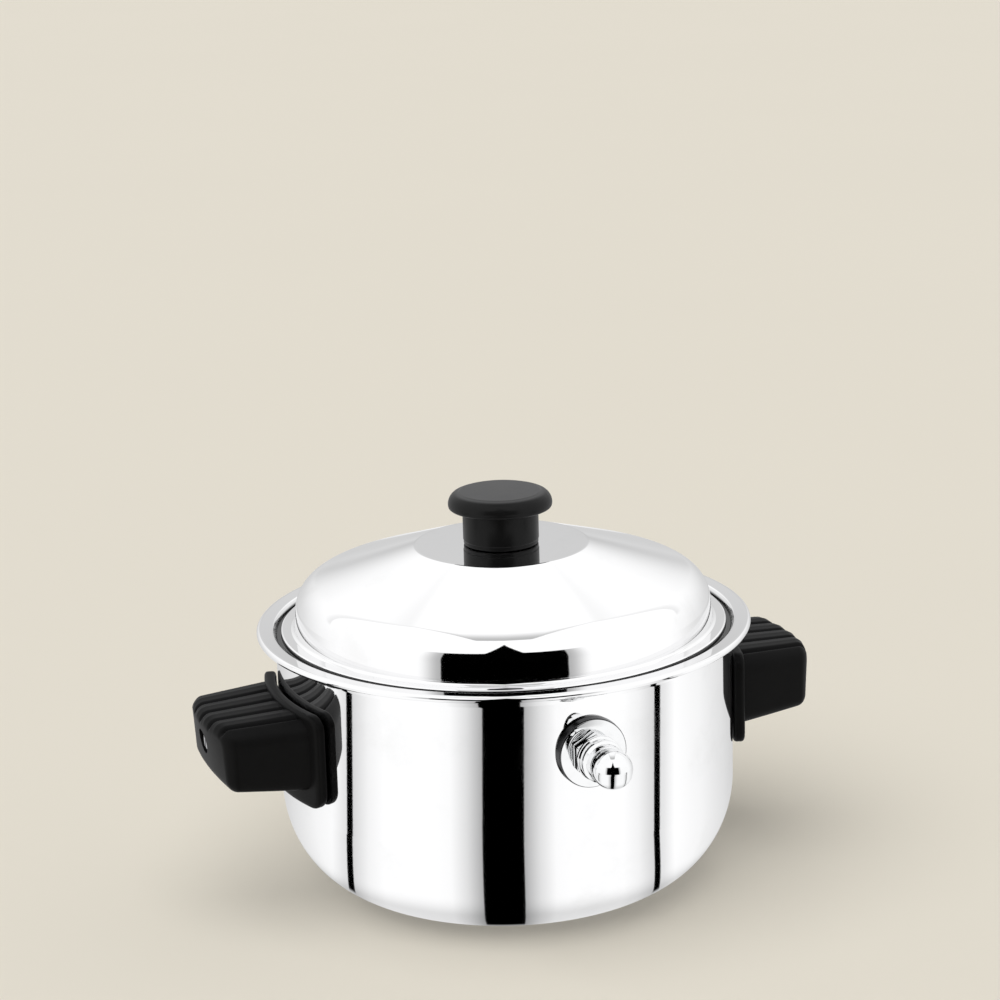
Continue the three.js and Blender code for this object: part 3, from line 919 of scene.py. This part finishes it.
def makeWhistle():
    s = whistleSizes
    socket, socketEnd = s["socket"]
    inlet, inletLength = s["inlet"]
    beads = [(s["sleeve"] + out, s["foot"] + up, bend) for out, up, bend in s["beads"]]
    outline = bentLine([
        (socket, s["foot"] + 1),
        (socket, s["foot"], 0.2),
        *beads,
        (s["sleeve"] - 0.9, s["shoulder"], 0.3),
        (s["chamber"], s["shoulder"]),
        (s["chamber"], socketEnd + inletLength),
        (inlet, socketEnd + inletLength),
        (inlet, socketEnd),
        (socket, socketEnd),
    ], 6)
    bm = turn(outline, s["steps"], True)
    layAlongWhistle(bm)
    finishMesh(bm, "whistleSleeve", "chrome", "whistle", ["whistle_body"])


# A hollow ball on a short neck, with a steam slot cut across both sides
def makeWhistleBall():
    s = whistleSizes
    neck, neckRadius, neckLength = s["neck"]
    start = degrees(asin((neck + neckLength - s["ballCentre"]) / s["ballRadius"]))
    outline = bentLine([(s["ballBore"], neck), (neckRadius, neck, 0.3), (neckRadius, neck + 1)], 4)
    outline += arcPoints((0, s["ballCentre"]), (s["ballRadius"],) * 2, start, 90, 30)
    outline += arcPoints((0, s["ballCentre"]), (s["ballBore"],) * 2, 90, 0, 16)
    bm = turn(outline, s["steps"], True)
    width, place = s["slot"]
    slot = blockMesh((s["ballRadius"] * 4, s["ballRadius"] * 1.25, width), (0, 0, place + width / 2))
    bm = combine(bm, [slot], "DIFFERENCE")
    layAlongWhistle(bm)
    finishMesh(bm, "whistleBall", "chrome", "whistle", ["whistle_cap"])


makeShell()
makeVessel()
print("pot made")
makeLid()
makeKnob()
makeKnobFixings()
print("lid made")
makeHandles()
print("handles made")
makeNozzle()
makePlate()
makeLocknut()
makeWhistle()
makeWhistleBall()
print("whistle made")


# Pieces kept as the frame gives them

keptNodes = {
    "knob_insert": "brass",
    "handle_bracket_left": "plain_steel",
    "handle_bracket_right": "plain_steel",
    "handle_nut_left": "plain_steel",
    "handle_nut_right": "plain_steel",
    "nozzle_gasket": "silicone",
    "whistle_seal": "silicone",
    "whistle_disc_inner": "plain_steel",
    "whistle_disc_outer": "plain_steel",
}
for nodeName, slotName in keptNodes.items():
    node = cadNodes[nodeName]
    node.data.materials.clear()
    node.data.materials.append(finishes[slotName])
print("kept pieces dressed")


# Floor and studio light

floorSizes = {
    "half": 9.0,  # m
    "drop": 0.0002,  # m below the base
    "colour": (0.76, 0.715, 0.62),
    "cloudShade": 0.985,
}


def makeFloor():
    s = floorSizes
    f = Finish("paleFloor")
    cloud = f.noise(3, 3.0)
    shade = f.tint(cloud, s["colour"], tuple(c * s["cloudShade"] for c in s["colour"]))
    material = f.surface(Base_Color=shade, Roughness=0.9, Specular_IOR_Level=0.1)
    bm = bmesh.new()
    bmesh.ops.create_grid(bm, x_segments=2, y_segments=2, size=s["half"])
    mesh = bpy.data.meshes.new("floor")
    bm.to_mesh(mesh)
    bm.free()
    mesh.materials.append(material)
    floor = bpy.data.objects.new("floor", mesh)
    scene.collection.objects.link(floor)
    floor.location.z = -s["drop"]
    floor.visible_glossy = False  # polished steel shows the white studio instead


# Turns and heights are in degrees; a pair is where a change starts and ends
studio = {
    "horizon": (-12, -10),  # the lower part lies below it
    # By turn, where 0 is the front and 1 the back
    "wallShades": [(0, 1.0), (0.55, 1.0), (0.65, 0.92), (0.78, 0.72), (0.92, 0.6), (1.0, 0.58)],
    "ceiling": (-6, 36),
    "ceilingShade": 1.03,
    "panelTurn": (164, 172),  # a greyer panel at the back
    "panelFoot": (2, 10),
    "panelTop": (22, 32),
    "panelDepth": 0.27,
    "overheadLow": 0.15,  # lowest slope that counts as overhead
    "overhead": (0.3, 0.4),
    "lightsAside": (0.16, 0.28),  # from the middle of the lights to their sides
    "lightsEdge": (0.2, 0.92, 0.2),  # place of their back edge, its step at the sides and its slant
    "greyReach": (0.85, 0.4),  # how far the grey runs behind the edge, and how much less at the sides
    "greyDepth": (0.52, 0.36),
    "greyStart": (-0.75, 0),
    "greyEnd": (0, 0.06),
    "viewHeight": 17.5,  # from which the pot's front is seen
    "driftStart": -18.9,  # below this height the card moves over a little
    "driftMost": 3.1,
    "driftRate": 0.55,
    "driftRest": 0.9,
    # By place on the pot, in units of 100 mm
    "frontShades": [
        (0.08, 0.4), (0.144, 0.74), (0.207, 0.97), (0.269, 1.0), (0.471, 1.0), (0.533, 0.9), (0.592, 0.68),
        (0.637, 0.8), (0.679, 1.0),
    ],
    "sideShades": [(0.72, 1.0), (0.83, 0.91), (0.938, 0.72), (0.992, 0.58), (1.0, 0.56)],
    "cornerLean": (0.5, 1.0),  # slope in the base corner
    "cornerDepth": 0.28,
    "backStop": (-0.85, -0.7),  # the card and the gaps stop short of the back
    "cardHalf": 8.2,  # half-width of the dark card seen in the wall, mm on the pot
    "lineAt": 60.75,  # the two thin dark gaps at the sides, mm on the pot
    "lineHalf": 1.2,
    "lineSoft": 0.12,
    "cardWide": 34,  # half-width of the card at the height the lid's skirt shows
    "cardTop": (26, 31),
    "cardSoft": 0.35,
    "peakHalf": 11,  # half-width of the foot of the card's peak
    "peakFoot": 30,
    "peakTop": 62,
    "haloWidth": 14,  # grey round the card
    "haloDepth": 0.55,
    "fillStrength": 0.5,
    "mirrorStrength": 1.12,
}


# The studio that polished metal shows: white all round, a dark card behind the camera,
# a thin gap at each side and a greyer wall behind the pot
def makeWorld():
    s = studio
    world = bpy.data.worlds.new("studio")
    scene.world = world
    t = Tree(world)
    way = t.add("ShaderNodeTexCoord", output="Generated")
    swing = radians(shot["azimuth"])

    def component(axis):
        return t.add("ShaderNodeVectorMath", {"operation": "DOT_PRODUCT"}, {0: way, 1: axis}, "Value")

    def ramp(factor, stops):
        shades = t.add("ShaderNodeValToRGB", {"stops": stops}, {"Fac": factor})
        return t.add("ShaderNodeRGBToBW", None, {0: shades})

    sideways = component((cos(swing), sin(swing), 0))
    forward = component((sin(swing), -cos(swing), 0))
    up = component((0, 0, 1))
    toDegrees = 180 / pi
    turned = (up.maths("ARCTAN2", sideways, forward) * toDegrees).absolute()
    height = up.maths("ARCSINE", up.atLeast(-1).atMost(1)) * toDegrees
    low = 1 - height.fade(*s["horizon"])

    # Upper part: bright in front, greyer behind, with a grey edge behind the lights overhead
    walls = ramp(turned / 180, s["wallShades"])
    ceiling = height.fade(*s["ceiling"])
    upper = walls * (1 - ceiling) + ceiling * s["ceilingShade"]
    panel = turned.fade(*s["panelTurn"]) * height.fade(*s["panelFoot"]) * (1 - height.fade(*s["panelTop"]))
    upper = upper * (1 - panel * s["panelDepth"])
    over = up.atLeast(s["overheadLow"])
    aside = (sideways / over).absolute()
    ahead = forward / over
    outward = aside.fade(*s["lightsAside"])
    edgeAhead, edgeStep, edgeSlant = s["lightsEdge"]
    reachMiddle, reachLess = s["greyReach"]
    depthMiddle, depthLess = s["greyDepth"]
    edge = ahead - edgeAhead + outward * edgeStep + aside * edgeSlant
    edge = edge / (reachMiddle - outward * reachLess)
    grey = edge.fade(*s["greyStart"]) * (1 - edge.fade(*s["greyEnd"])) * (depthMiddle - outward * depthLess)
    upper = upper * (1 - grey * up.fade(*s["overhead"]))

    # Lower part, by the place on the pot's front that mirrors a direction, so that the card and
    # the gaps stay straight
    view = radians(s["viewHeight"])
    toFront = forward + cos(view)
    flat = (sideways * sideways + toFront * toFront) ** 0.5
    lean = (0 - (up + sin(view)) / flat).atLeast(0)
    cornerAcross, cornerTall = potSizes["corner"]
    girth = cornerAcross / (lean * lean * (cornerTall / cornerAcross) ** 2 + 1) ** 0.5
    girth = girth + (potSizes["shellRadius"] - cornerAcross)
    slant = (sideways / flat).absolute()
    drift = (s["driftStart"] - height).atLeast(0).atMost(s["driftMost"]) * s["driftRate"] + s["driftRest"]
    place = (girth * sideways / flat + drift).absolute()
    lower = ramp(place / 100, s["frontShades"])
    lower = lower * ramp(slant, s["sideShades"])
    lower = lower * (1 - lean.fade(*s["cornerLean"]) * s["cornerDepth"])
    shade = low * lower + (1 - low) * upper

    # The card and the gaps, straight in the wall, and the card's upper end as the lid shows it
    facing = forward.fade(*s["backStop"])
    soft = s["lineSoft"]
    band = facing * (1 - (place - s["cardHalf"]).fade(-soft, soft))
    fromLine = (place - s["lineAt"]).absolute()
    gap = facing * (1 - (fromLine - s["lineHalf"]).fade(-soft, soft))
    wide = 1 - height.fade(*s["cardTop"])
    narrowing = s["peakHalf"] / (s["peakTop"] - s["peakFoot"])
    peak = ((s["peakTop"] - height) * narrowing).atLeast(-1).atMost(s["peakHalf"])
    pastCard = turned - (peak + wide * (s["cardWide"] - s["peakHalf"]))
    card = 1 - pastCard.fade(-s["cardSoft"], s["cardSoft"])
    halo = (1 - pastCard.fade(0, s["haloWidth"])) * wide * (1 - low)
    dark = low * band.atLeast(gap) + (1 - low) * card
    shade = shade * (1 - dark) * (1 - halo * s["haloDepth"])

    glossy = t.add("ShaderNodeLightPath", output="Is Glossy Ray")
    camera = t.add("ShaderNodeLightPath", output="Is Camera Ray")
    white = (1, 1, 1, 1)
    mirror = shade * s["mirrorStrength"]
    plain = t.add("ShaderNodeBackground", None, {"Color": white, "Strength": s["fillStrength"]})
    seen = t.add("ShaderNodeBackground", None, {"Color": (*floorSizes["colour"], 1), "Strength": 1.0})
    mirrored = t.add("ShaderNodeBackground", None, {"Color": white, "Strength": mirror})
    mixed = t.add("ShaderNodeMixShader", None, {0: glossy, 1: plain, 2: mirrored})
    mixed = t.add("ShaderNodeMixShader", None, {0: camera, 1: mixed, 2: seen})
    t.add("ShaderNodeOutputWorld", None, {"Surface": mixed})


sunSizes = {
    "from": (-0.35, -0.3, 1.0),
    "angle": 70,  # degrees, for soft shadows
    "strength": 1.75,
}


def makeSun():
    data = bpy.data.lights.new("softSun", "SUN")
    data.energy = sunSizes["strength"]
    data.angle = radians(sunSizes["angle"])
    light = bpy.data.objects.new("softSun", data)
    scene.collection.objects.link(light)
    light.rotation_euler = (-Vector(sunSizes["from"])).to_track_quat("-Z", "Y").to_euler()
    light.visible_glossy = False


makeFloor()
makeWorld()
makeSun()
scene.view_settings.view_transform = "Standard"
print("stage set")
